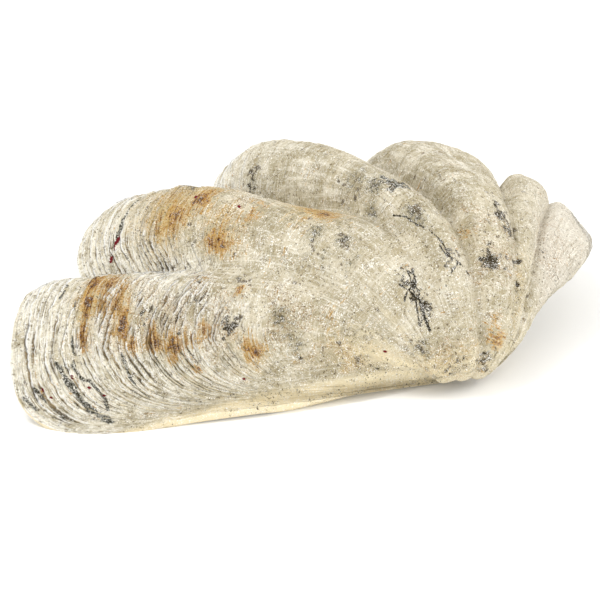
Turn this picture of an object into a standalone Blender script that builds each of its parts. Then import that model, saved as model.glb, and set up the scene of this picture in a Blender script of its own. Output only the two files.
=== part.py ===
"""Giant clam shell: one valve, lying hollow side down on its margin.

The valve is one grown piece. Its margin is a curve round the opening, with a wave for each radial fold.
Every earlier margin is a smaller, turned copy of it, so the outside is swept from the beak by growth.
The inside is the same sweep, set in by the wall thickness and rounded off under the beak.
X runs along the valve, Y from the beak towards the folded margin, and Z is up.
"""
from math import radians

import bpy
import numpy as np

# Margin of the opening, from the hinge round to the hinge again
# Each point: direction in degrees from the length axis, reach and height in metres from the hinge middle
MARGIN = [
    ("hinge", 184, 0.040, 0.000),
    ("dorsal near", 182, 0.110, 0.006),
    ("dorsal middle", 179, 0.220, 0.010),
    ("dorsal far", 176, 0.320, 0.007),
    ("end corner", 173.5, 0.405, 0.000),
    ("fold 1 foot", 169, 0.452, 0.012),
    ("fold 1 crest", 166, 0.465, 0.042),
    ("fold 1 side", 160, 0.462, 0.078),
    ("fold 1 top", 152, 0.441, 0.086),
    ("tongue 1", 148, 0.402, 0.058),
    ("fold 2 foot", 143.5, 0.428, 0.083),
    ("fold 2 crest", 131, 0.430, 0.109),
    ("fold 2 back", 127, 0.410, 0.076),
    ("fold 2 side", 123, 0.378, 0.036),
    ("tongue 2", 119, 0.350, -0.003),
    ("fold 3 foot", 116, 0.388, 0.060),
    ("fold 3 crest", 108, 0.415, 0.107),
    ("fold 3 back", 102, 0.388, 0.079),
    ("fold 3 side", 97, 0.342, 0.038),
    ("tongue 3", 94, 0.312, -0.003),
    ("fold 4 foot", 91, 0.352, 0.062),
    ("fold 4 crest", 82, 0.354, 0.100),
    ("fold 4 side", 66, 0.322, 0.068),
    ("tongue 4", 64, 0.290, 0.062),
    ("fold 5 foot", 61.5, 0.294, 0.083),
    ("fold 5 crest", 57, 0.284, 0.091),
    ("fold 5 side", 52, 0.266, 0.083),
    ("tongue 5", 51, 0.252, 0.066),
    ("fold 6 foot", 49.2, 0.268, 0.071),
    ("fold 6 face", 39, 0.228, 0.076),
    ("fold 6 crest", 31, 0.198, 0.071),
    ("fold 6 side", 26, 0.145, 0.062),
    ("ear", 25, 0.088, 0.048),
    ("ear near", 22, 0.034, 0.033),
    ("hinge end", 10, 0.008, 0.010),
]

# Growth
BEAK = (-0.018, 0.032, 0.029)
HINGE_SHIFT = (0.0, -0.045, -0.016)
YOUNG_SHIFT = (-0.018, -0.032, -0.016)
YOUNG_UNTIL = 0.42
STEADY_TURN = 0.25
WHOLE_TURN = 2.60
TURN_SPAN = 1.62
LATE_DROOP = 0.24
LATE_DROOP_SPAN = 0.12
TILT_FADE = 0.35
FOLD_SMOOTHING = 1.8
FINE_STEPS = 1500
VALUE_SMOOTHING = 3

# What changes round the margin, as pairs of direction and value
TILTS = ((60, 0.24), (150, 0.0))
TURN_SHARES = ((150, 1.0), (174, 0.45))
SHIFT_SHARES = ((18, 0.7), (50, 0.0), (148, 0.0), (174, 1.0))
FOLD_FADES = ((95, 0.6), (120, 1.2), (134, 1.8), (147, 1.6), (184, 1.4))

# Wall
MARGIN_WALL = 0.008
BODY_WALL = 0.022
BODY_WALL_AT = 0.5
HINGE_WALL = 0.030
HINGE_WALL_TO = 0.05
HINGE_WALL_FADES = 0.20
INNER_FOLD_LOSS = 0.9
WALL_OF_REACH = 0.050
CAVITY_ROUNDS_FROM = 0.52
CAVITY_END = 0.26
LIP = 0.002
TIGHT_FROM = 80
TIGHT_SPAN = 15
SMOOTHING_SHARE = 0.25
TIGHT_SHARE = 0.75
SMOOTHING_PASSES = 14
TIP_LENGTH = 0.5

# Growth ledges, as sizes relative to the last margin
LEDGES = (0.975, 0.940, 0.905, 0.865, 0.820, 0.770, 0.715, 0.650, 0.580)
LEDGE_STEP = 0.0035
LEDGE_FACE = 0.004
LEDGES_FROM = 0.53
FIRST_LEDGE_FOOT = 0.5
LEDGE_SHARES = ((97.5, 0.25), (135, 1.0))
NO_LEDGE_TO = 0.03
FULL_LEDGE_FROM = 0.09

# Facets
PER_GAP = 2.5
HINGE_FACETS = 4
EARLY_ROWS = (0.52, 0.46, 0.40, 0.345, 0.29, 0.24, 0.195, 0.155)
INNER_ROWS = (1.0, 0.96, 0.91, 0.85, 0.78, 0.71, 0.64, 0.57, 0.50, 0.44, 0.38, 0.33, 0.295, 0.27)

SHELL_COLOUR = (0.80, 0.75, 0.66, 1.0)


def margin_points():
    """The margin's points as positions."""
    out = []
    for _, direction, reach, height in MARGIN:
        turn = radians(direction)
        out.append((reach * np.cos(turn), reach * np.sin(turn), height))
    return np.array(out)


def spline(points, where):
    """A smooth curve through the points, read at the places in where, counted in points."""
    points = np.asarray(points, float)
    last = len(points) - 1
    gaps = np.linalg.norm(np.diff(points, axis=0), axis=1) ** 0.5
    knots = np.concatenate([[0.0], np.cumsum(gaps)])
    # The second derivatives that make it smooth, with none at its two ends
    rows = np.eye(last + 1)
    right = np.zeros((last + 1, 3))
    for i in range(1, last):
        rows[i, i - 1] = gaps[i - 1]
        rows[i, i] = 2 * (gaps[i - 1] + gaps[i])
        rows[i, i + 1] = gaps[i]
        after = (points[i + 1] - points[i]) / gaps[i]
        before = (points[i] - points[i - 1]) / gaps[i - 1]
        right[i] = 6 * (after - before)
    bend = np.linalg.solve(rows, right)
    where = np.clip(np.asarray(where, float), 0, last)
    cell = np.minimum(where.astype(int), last - 1)
    gap = gaps[cell][:, None]
    b = ((knots[cell] + (where - cell) * gaps[cell]) - knots[cell])[:, None]
    a = gap - b
    curve = (bend[cell] * a**3 + bend[cell + 1] * b**3) / (6 * gap)
    curve += (points[cell] / gap - bend[cell] * gap / 6) * a
    curve += (points[cell + 1] / gap - bend[cell + 1] * gap / 6) * b
    return curve


def without_folds(points, where):
    """The margin with its folds evened out."""
    fine = np.linspace(0, len(points) - 1, FINE_STEPS + 1)
    curve = spline(points, fine)
    step = fine[1]
    half = int(round(3 * FOLD_SMOOTHING / step))
    weights = np.exp(-0.5 * (np.arange(-half, half + 1) * step / FOLD_SMOOTHING) ** 2)
    weights /= weights.sum()
    left = 2 * curve[0] - curve[1:half + 1][::-1]
    right = 2 * curve[-1] - curve[-half - 1:-1][::-1]
    padded = np.vstack([left, curve, right])
    even = [np.convolve(padded[:, i], weights, "valid") for i in range(3)]
    return np.stack([np.interp(where, fine, axis) for axis in even], 1)


def by_direction(where, pairs):
    """A value given by direction, read at places on the margin and smoothed a little."""
    fine = np.linspace(0, len(MARGIN) - 1, FINE_STEPS + 1)
    directions = np.interp(fine, np.arange(len(MARGIN)), [m[1] for m in MARGIN])
    values = np.interp(directions, [p[0] for p in pairs], [p[1] for p in pairs])
    width = int(round(VALUE_SMOOTHING / fine[1])) // 2
    for _ in range(2):
        padded = np.pad(values, width, mode="edge")
        values = np.convolve(padded, np.ones(2 * width + 1) / (2 * width + 1), "valid")
    return np.interp(where, fine, values)


def sweep(where, sizes, fold_loss=0.0):
    """Earlier margins: one row for each size, one column for each place, then the hinge line."""
    points = margin_points()
    folded = spline(points, where)
    even = without_folds(points, where)
    tilts = by_direction(where, TILTS)
    fades = by_direction(where, FOLD_FADES)
    turn_shares = by_direction(where, TURN_SHARES)
    shift_shares = by_direction(where, SHIFT_SHARES)[:, None]
    rows = []
    for size in sizes:
        age = -np.log(size)
        turn = STEADY_TURN * age + WHOLE_TURN * (1 - np.exp(-(age / TURN_SPAN) ** 2))
        turn += LATE_DROOP * (1 - np.exp(-age / LATE_DROOP_SPAN))
        turn = (turn * turn_shares)[:, None]
        young = max(1 - size / YOUNG_UNTIL, 0)
        young = young**2 * (3 - 2 * young)
        beak = np.array(BEAK) + shift_shares * np.array(HINGE_SHIFT)
        beak += (1 - shift_shares) * young * np.array(YOUNG_SHIFT)
        folds = (size**fades * (1 - fold_loss * (1 - size)))[:, None]
        arm = even + folds * (folded - even) - beak
        tilt = tilts * size**TILT_FADE
        axes = np.stack([np.ones_like(tilt), 0 * tilt, -tilt], 1)
        axes /= np.linalg.norm(axes, axis=1)[:, None]
        along = axes * (axes * arm).sum(1)[:, None]
        turned = arm * np.cos(turn) + np.cross(axes, arm) * np.sin(turn)
        turned += along * (1 - np.cos(turn))
        row = beak + size * turned
        steps = np.arange(1, HINGE_FACETS)[:, None] / HINGE_FACETS
        line = row[-1] + (row[0] - row[-1]) * steps
        rows.append(np.vstack([row, line]))
    return np.array(rows)


def normals(grid):
    """Outward directions of a grid whose columns close on themselves."""
    along = np.roll(grid, -1, axis=1) - np.roll(grid, 1, axis=1)
    down = np.gradient(grid, axis=0)
    out = np.cross(down, along)
    return out / np.maximum(np.linalg.norm(out, axis=2, keepdims=True), 1e-12)


def ledge_height(sizes):
    """How far each earlier margin stands out as a growth ledge, from 0 to 1."""
    edges = np.array(sorted(LEDGES))
    out = np.zeros(len(sizes))
    for i, size in enumerate(sizes):
        later = edges[edges >= size - 1e-9]
        if len(later) == 0:
            continue
        edge = later[0]
        earlier = edges[edges < size - 1e-9]
        start = earlier[-1] + LEDGE_FACE if len(earlier) else FIRST_LEDGE_FOOT
        out[i] = min(max((size - start) / (edge - start), 0), 1)
    return out


def build_shell():
    """Points and faces of the valve."""
    last = len(MARGIN) - 1
    where = np.linspace(0, last, int(round(PER_GAP * last)) + 1)
    directions = np.interp(where, np.arange(last + 1), [m[1] for m in MARGIN])

    # Outside, with the foot and the edge of each growth ledge as rows of their own
    sizes = [1.0]
    for edge in LEDGES:
        sizes += [edge + LEDGE_FACE, edge]
    sizes += list(EARLY_ROWS)
    sizes = np.array(sizes)
    outside = sweep(where, sizes)
    columns = outside.shape[1]
    share = np.interp(directions, [s[0] for s in LEDGE_SHARES], [s[1] for s in LEDGE_SHARES])
    share = np.concatenate([share, np.zeros(columns - len(share))])
    share = share * np.clip((outside[0, :, 1] - NO_LEDGE_TO) / (FULL_LEDGE_FROM - NO_LEDGE_TO), 0, 1)
    height = (ledge_height(sizes) - 0.5) * LEDGE_STEP
    height[0] = 0.0
    height[sizes < LEDGES_FROM] = 0.0
    out = normals(outside)
    outside = outside + out * (height[:, None] * share[None, :])[:, :, None]

    # Inside, set in from the same sweep by the wall, and rounded off under the beak
    inner_sizes = np.array(INNER_ROWS)
    inside = sweep(where, inner_sizes, INNER_FOLD_LOSS)
    out = normals(inside)
    tight = np.full(columns, SMOOTHING_SHARE)
    near = np.clip((TIGHT_FROM - directions) / TIGHT_SPAN, 0, TIGHT_SHARE - SMOOTHING_SHARE)
    tight[:len(where)] += near
    for _ in range(SMOOTHING_PASSES):
        even = (np.roll(out, 1, axis=1) + np.roll(out, -1, axis=1)) / 2
        out = out + (even - out) * tight[None, :, None]
    out /= np.linalg.norm(out, axis=2, keepdims=True)
    far = np.linalg.norm(outside[0] - outside[-1].mean(0), axis=1)
    hinge = np.clip((HINGE_WALL_FADES - far) / (HINGE_WALL_FADES - HINGE_WALL_TO), 0, 1)
    hinge[len(where):] = 1
    for i, size in enumerate(inner_sizes):
        middle = inside[i, :len(where)].mean(0)
        inward = middle - inside[i]
        inward /= np.linalg.norm(inward, axis=1)[:, None]
        inward = inward * hinge[:, None] - out[i] * (1 - hinge[:, None])
        inward /= np.linalg.norm(inward, axis=1)[:, None]
        wall = MARGIN_WALL + (BODY_WALL - MARGIN_WALL) * min((1 - size) / BODY_WALL_AT, 1)
        wall = np.minimum(wall, WALL_OF_REACH * size * far)
        wall = wall + (HINGE_WALL - wall) * hinge
        inside[i] += inward * wall[:, None]
        if size < CAVITY_ROUNDS_FROM:
            gone = (CAVITY_ROUNDS_FROM - size) / (CAVITY_ROUNDS_FROM - CAVITY_END)
            middle = inside[i].mean(0)
            inside[i] = middle + (inside[i] - middle) * np.sqrt(1 - gone**2)

    # The lip between them bulges a little past both
    along = np.roll(outside[0], -1, axis=0) - np.roll(outside[0], 1, axis=0)
    away = np.cross(along, inside[0] - outside[0])
    away /= np.linalg.norm(away, axis=1)[:, None]
    lip = (outside[0] + inside[0]) / 2 + away * LIP

    rings = [row for row in outside[::-1]] + [lip] + [row for row in inside]
    tip = outside[-1].mean(0) + (outside[-1].mean(0) - outside[-2].mean(0)) * TIP_LENGTH
    roof = inside[-1].mean(0) + (inside[-1].mean(0) - inside[-2].mean(0)) * TIP_LENGTH

    points = [tip]
    for ring in rings:
        points += list(ring)
    points.append(roof)
    points = np.array(points)
    faces = []
    for j in range(columns):
        k = (j + 1) % columns
        faces.append((0, 1 + k, 1 + j))
    for i in range(len(rings) - 1):
        a = 1 + i * columns
        b = a + columns
        for j in range(columns):
            k = (j + 1) % columns
            faces.append((a + j, a + k, b + k))
            faces.append((a + j, b + k, b + j))
    a = 1 + (len(rings) - 1) * columns
    for j in range(columns):
        k = (j + 1) % columns
        faces.append((a + j, a + k, len(points) - 1))

    # It rests on places worn flat
    points[:, 2] = np.maximum(points[:, 2], 0)
    low = points.min(0)
    high = points.max(0)
    points -= np.array([(low[0] + high[0]) / 2, (low[1] + high[1]) / 2, low[2]])
    return points, faces


def main():
    for item in list(bpy.data.objects):
        bpy.data.objects.remove(item)
    points, faces = build_shell()
    mesh = bpy.data.meshes.new("valve")
    mesh.from_pydata([tuple(p) for p in points], [], faces)
    mesh.update()
    material = bpy.data.materials.new("shell")
    material.use_nodes = True
    shader = material.node_tree.nodes["Principled BSDF"]
    shader.inputs["Base Color"].default_value = SHELL_COLOUR
    shader.inputs["Roughness"].default_value = 0.6
    mesh.materials.append(material)
    valve = bpy.data.objects.new("valve", mesh)
    bpy.context.scene.collection.objects.link(valve)


main()
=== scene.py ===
"""Giant clam shell, dressed.

The outside is swept from the beak by the same rule of growth as the solid, with rows that follow the
growth lamellae, and it is worn, pitted and stained. The inside is smooth. Sizes are in metres.

A point of the outside is given by its place on the margin, counted in the margin's points, and by its
size, which is how large the shell was when that point grew: 1 at today's margin, less towards the beak.
"""

from math import radians
from types import SimpleNamespace

import bpy
import numpy as np
from mathutils import Matrix, Vector


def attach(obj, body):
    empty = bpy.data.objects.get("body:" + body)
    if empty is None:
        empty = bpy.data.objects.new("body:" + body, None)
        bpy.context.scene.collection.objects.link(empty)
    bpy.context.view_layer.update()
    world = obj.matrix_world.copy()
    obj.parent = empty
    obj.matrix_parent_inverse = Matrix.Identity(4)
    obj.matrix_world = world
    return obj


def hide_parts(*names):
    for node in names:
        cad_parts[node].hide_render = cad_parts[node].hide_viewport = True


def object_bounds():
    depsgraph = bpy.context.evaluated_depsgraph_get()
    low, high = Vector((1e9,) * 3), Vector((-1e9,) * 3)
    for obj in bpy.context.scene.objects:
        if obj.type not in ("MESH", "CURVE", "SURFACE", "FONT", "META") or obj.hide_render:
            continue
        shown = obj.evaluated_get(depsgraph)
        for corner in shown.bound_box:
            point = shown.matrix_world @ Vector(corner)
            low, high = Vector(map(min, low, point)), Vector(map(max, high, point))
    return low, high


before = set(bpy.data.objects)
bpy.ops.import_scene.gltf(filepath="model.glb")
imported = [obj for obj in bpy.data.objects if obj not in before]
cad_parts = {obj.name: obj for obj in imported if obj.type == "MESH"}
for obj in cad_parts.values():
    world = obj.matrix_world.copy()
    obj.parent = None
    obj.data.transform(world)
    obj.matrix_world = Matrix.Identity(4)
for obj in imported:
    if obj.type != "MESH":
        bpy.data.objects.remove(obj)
cad_low, cad_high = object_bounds()

# Margin of the opening, from the hinge round to the hinge again, as in the solid
# Each point: direction in degrees from the length axis, reach and height from the hinge middle
MARGIN = [
    ("hinge", 184, 0.040, 0.000),
    ("dorsal near", 182, 0.110, 0.006),
    ("dorsal middle", 179, 0.220, 0.010),
    ("dorsal far", 176, 0.320, 0.007),
    ("end corner", 173.5, 0.405, 0.000),
    ("fold 1 foot", 169, 0.452, 0.012),
    ("fold 1 crest", 166, 0.465, 0.042),
    ("fold 1 side", 160, 0.462, 0.078),
    ("fold 1 top", 152, 0.441, 0.086),
    ("tongue 1", 148, 0.402, 0.058),
    ("fold 2 foot", 143.5, 0.428, 0.083),
    ("fold 2 crest", 131, 0.430, 0.109),
    ("fold 2 back", 127, 0.410, 0.076),
    ("fold 2 side", 123, 0.378, 0.036),
    ("tongue 2", 119, 0.350, -0.003),
    ("fold 3 foot", 116, 0.388, 0.060),
    ("fold 3 crest", 108, 0.415, 0.107),
    ("fold 3 back", 102, 0.388, 0.079),
    ("fold 3 side", 97, 0.342, 0.038),
    ("tongue 3", 94, 0.312, -0.003),
    ("fold 4 foot", 91, 0.352, 0.062),
    ("fold 4 crest", 82, 0.354, 0.100),
    ("fold 4 side", 66, 0.322, 0.068),
    ("tongue 4", 64, 0.290, 0.062),
    ("fold 5 foot", 61.5, 0.294, 0.083),
    ("fold 5 crest", 57, 0.284, 0.091),
    ("fold 5 side", 52, 0.266, 0.083),
    ("tongue 5", 51, 0.252, 0.066),
    ("fold 6 foot", 49.2, 0.268, 0.071),
    ("fold 6 face", 39, 0.228, 0.076),
    ("fold 6 crest", 31, 0.198, 0.071),
    ("fold 6 side", 26, 0.145, 0.062),
    ("ear", 25, 0.088, 0.048),
    ("ear near", 22, 0.034, 0.033),
    ("hinge end", 10, 0.008, 0.010),
]

# Growth, as in the solid
BEAK = (-0.018, 0.032, 0.029)
HINGE_SHIFT = (0.0, -0.045, -0.016)
YOUNG_SHIFT = (-0.018, -0.032, -0.016)
YOUNG_UNTIL = 0.42
STEADY_TURN = 0.25
WHOLE_TURN = 2.60
TURN_SPAN = 1.62
LATE_DROOP = 0.24
LATE_DROOP_SPAN = 0.12
TILT_FADE = 0.35
FOLD_SMOOTHING = 1.8
FINE_STEPS = 1500
VALUE_SMOOTHING = 3

# What changes round the margin, as pairs of direction and value
TILTS = ((60, 0.24), (150, 0.0))
TURN_SHARES = ((150, 1.0), (174, 0.45))
SHIFT_SHARES = ((18, 0.7), (50, 0.0), (148, 0.0), (174, 1.0))
FOLD_FADES = ((95, 0.6), (120, 1.2), (134, 1.8), (147, 1.6), (184, 1.4))

# Wall, as in the solid
MARGIN_WALL = 0.008
BODY_WALL = 0.022
HINGE_WALL = 0.030
HINGE_WALL_TO = 0.05
HINGE_WALL_FADES = 0.20
BODY_WALL_AT = 0.5
INNER_FOLD_LOSS = 0.9
WALL_OF_REACH = 0.050
CAVITY_ROUNDS_FROM = 0.52
CAVITY_END = 0.26
LIP = 0.002

# Lip rings between the outside and the inside: share of the way across, and how brown each is
LIP_RINGS = ((0.12, 0.5), (0.5, 0.5), (0.88, 1.0))

# The middle of the solid's box, in the frame that the margin is given in
BOX_MIDDLE = (-0.1358, 0.1768)

# Mesh
COLUMNS = 736
COLUMN_STEPS = 4000
HINGE_COLUMNS = 17
PIECES = 4
INNER_ROWS = 54
SMALLEST = 0.10
ROOF_HOLE = 0.006
NORMAL_PASSES = 400
NORMAL_SHARE = 0.5

# Growth lamellae: gaps between them in size, and how far their edges stand out
LAMELLA_GAP = (0.0080, 0.0170)
EARLY_GAP = (0.012, 0.022)
EARLY_FROM = 0.42
LAMELLA_BACK = (0.0, 0.22, 0.45, 0.68, 0.88)
LAMELLA_CURVE = 0.8
LAMELLA_FOOT = 0.0016
LAMELLA_FOOT_SHARE = 0.2
LAMELLA_STEP = 0.0036
LAMELLA_MIDDLE = 0.55
LAMELLA_STRENGTHS = (0.35, 1.3)
STRONGEST = 1.2
CHIPPING = 0.30
GAP_SEED = 7
STRENGTH_SEED = 3

# How far the growth lines of the first fold run back towards its top, as places and sizes
ELBOW = (
    (3.0, 0.020), (4.6, 0.012), (5.5, 0.003), (6.2, -0.009), (6.9, 0.007), (7.6, 0.028), (8.6, 0.044),
    (9.2, 0.020), (10.0, 0.0),
)
ELBOW_LATE = (0.02, 0.14)
ELBOW_EARLY = (0.2, 0.6)

# Where the lamellae are worn away: direction, size where nothing is left, size where all is left
WEAR = (
    (60, 0.88, 1.05), (95, 0.86, 1.04), (108, 0.80, 1.0), (130, 0.66, 0.92), (148, 0.58, 0.84),
    (158, 0.42, 0.72),
)
WORN_LEFT = 0.14
HINGE_LEFT = 0.2
HINGE_FADE = (0.02, 0.09)

# How near the margin the bumps and the chips fade out, in size
BUMPS_FADE = 0.04
CHIPS_FADE = 0.02

# Noise that follows the growth lines: height, waves by place, waves by size or by lamella, seed
SWAY = ((0.0022, 1.7, 60, 11), (0.0012, 5.27, 132, 12))
CHIPS = ((0.7, 5.0, 5.3, 13), (0.5, 18.5, 5.3, 14))
PATCHES = ((0.6, 2.2, 70, 21), (0.35, 4.4, 110, 22))
PATCH_MIDDLE = 0.8
PATCH_RANGE = (0.1, 1.5)

# Noise in space: height, scale, seed
LUMPS = ((0.0018, 0.060, 31), (0.0010, 0.022, 32))
FINE_BUMPS = ((0.00060, 0.009, 33), (0.00040, 0.0045, 35))
PITS = ((1.0, 0.0052, 36), (0.35, 0.035, 37))
PIT_RANGE = (0.42, 0.75)
PIT_DEPTH = 0.0010
RAGGED = ((0.4, 0.005, 41), (0.3, 0.0022, 42))

# How much rougher the crust is, for each kind of stain
CRUST = {"grey": 1.5, "dark": 1.8}

# The noise's table, and how a cell of space picks a value from it
NOISE_VALUES = 4096
NOISE_OFFSET = 1000.0
NOISE_PRIMES = (73856093, 19349663, 83492791)

# Swells and hollows of the outside: place, size, reach in places, reach in size, height in metres
SWELLS = [
    (11.0, 0.71, 0.9, 0.09, 0.0095),
    (21.0, 0.66, 0.8, 0.08, -0.0030),
    (29.0, 0.17, 1.0, 0.04, -0.0050),
    (15.6, 0.49, 0.5, 0.03, 0.0030),
    (13.4, 0.42, 0.5, 0.05, 0.0030),
    (6.3, 0.93, 0.6, 0.02, 0.0020),
    (8.0, 0.96, 0.6, 0.015, 0.0020),
    (9.4, 0.36, 0.40, 0.06, -0.0035),
    (9.0, 0.25, 0.45, 0.05, -0.0030),
    (10.9, 0.32, 0.60, 0.08, 0.0022),
    (7.9, 0.33, 0.50, 0.07, 0.0016),
    (27.0, 0.90, 0.7, 0.12, 0.0050),
    (29.5, 0.90, 0.8, 0.12, -0.0030),
]

# Camera, at the photo's angle
CAMERA_AT = (-0.6523, -1.7925, 0.8767)
CAMERA_FORWARD = (0.3164, 0.8632, -0.4060)
CAMERA_RIGHT = (0.8988, -0.4384, 0.0)
CAMERA_LENS = 120.5
SENSOR_WIDTH = 36

# Lights: name, place, what it is turned to, width, power
LAMPS = (
    ("key", (-0.9, 0.3, 2.2), (0, 0, 0.05), 0.9, 22),
    ("front", (-1.1, -1.7, 0.50), (-0.1, -0.1, 0.03), 1.2, 8),
    ("side", (1.5, -0.7, 0.8), (0.2, 0, 0.08), 1.2, 12),
)
SKY_COLOUR = (1.0, 0.99, 0.97, 1)
SKY_STRENGTH = 0.95
FLOOR_HALF = 12.0
FLOOR_WHITE = (0.96, 0.96, 0.955, 1)
FLOOR_ROUGHNESS = 0.9

# Colours of the outside, linear
KHAKI = (0.315, 0.262, 0.145, 1)
SAND = (0.435, 0.374, 0.240, 1)
PALE_PATCH = (0.62, 0.555, 0.415, 1)
DARK_PATCH = (0.27, 0.222, 0.125, 1)
RUGGED_WHITE = (0.84, 0.785, 0.63, 1)
BROWN_BAND = (0.41, 0.340, 0.205, 1)
PALE_LINE = (0.90, 0.87, 0.76, 1)
PALE_SPOT = (0.92, 0.905, 0.84, 1)
DARK_SPOT = (0.20, 0.158, 0.095, 1)
LAST_FOLD = (0.66, 0.61, 0.52, 1)
PALE_RIB = (0.84, 0.80, 0.69, 1)
DARK_RIB = (0.30, 0.25, 0.155, 1)
THIN_LINE = (0.160, 0.115, 0.055, 1)
WHITE_LINE = (0.90, 0.89, 0.84, 1)
# Painted shade for the gaps under the lamella edges, and a painted highlight for the edges
GAP_SHADE_DARK = (0.070, 0.050, 0.024, 1)
GAP_SHADE_TAN = (0.300, 0.215, 0.100, 1)
PAINTED_EDGE_HIGHLIGHT = (0.95, 0.94, 0.90, 1)
TAN = (0.54, 0.385, 0.140, 1)
RUST = (0.48, 0.275, 0.060, 1)
DEEP_RUST = (0.28, 0.115, 0.018, 1)
BLACK_RUST = (0.060, 0.022, 0.012, 1)
DARK_NET = (0.115, 0.050, 0.016, 1)
LIGHT_NET = (0.43, 0.240, 0.050, 1)
WRIGGLE = (0.115, 0.088, 0.040, 1)
OLIVE_CRUST = (0.225, 0.195, 0.110, 1)
BLACK_CRUST = (0.050, 0.040, 0.018, 1)
PIT = (0.12, 0.092, 0.055, 1)
DARK_STAIN = (0.040, 0.029, 0.011, 1)
BLACK_FILLING = (0.022, 0.021, 0.012, 1)
GRIT = (0.50, 0.48, 0.40, 1)
CRACK = (0.022, 0.016, 0.006, 1)
SEAM = (0.84, 0.82, 0.74, 1)
BROWN_LIP = (0.42, 0.255, 0.095, 1)
# Painted light: a pale tint for the underside and the low hinge strip, which lie in shade
PAINTED_UNDERSIDE_LIGHT = (0.88, 0.77, 0.52, 1)
# Painted highlights: pale glints and sparkles
GLINT = (0.97, 0.95, 0.89, 1)
SPARKLE_HIGHLIGHT = (0.97, 0.94, 0.86, 1)
SPECK = (0.150, 0.108, 0.052, 1)
DARK_SPECK = (0.070, 0.046, 0.018, 1)
RED_DOT = (0.150, 0.006, 0.012, 1)

# Colours of the inside, linear
PORCELAIN = (0.86, 0.84, 0.78, 1)
CREAM = (0.74, 0.69, 0.56, 1)
WHITE_PATCH = (0.90, 0.89, 0.85, 1)
FAINT_LINE = (0.78, 0.74, 0.64, 1)

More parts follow.
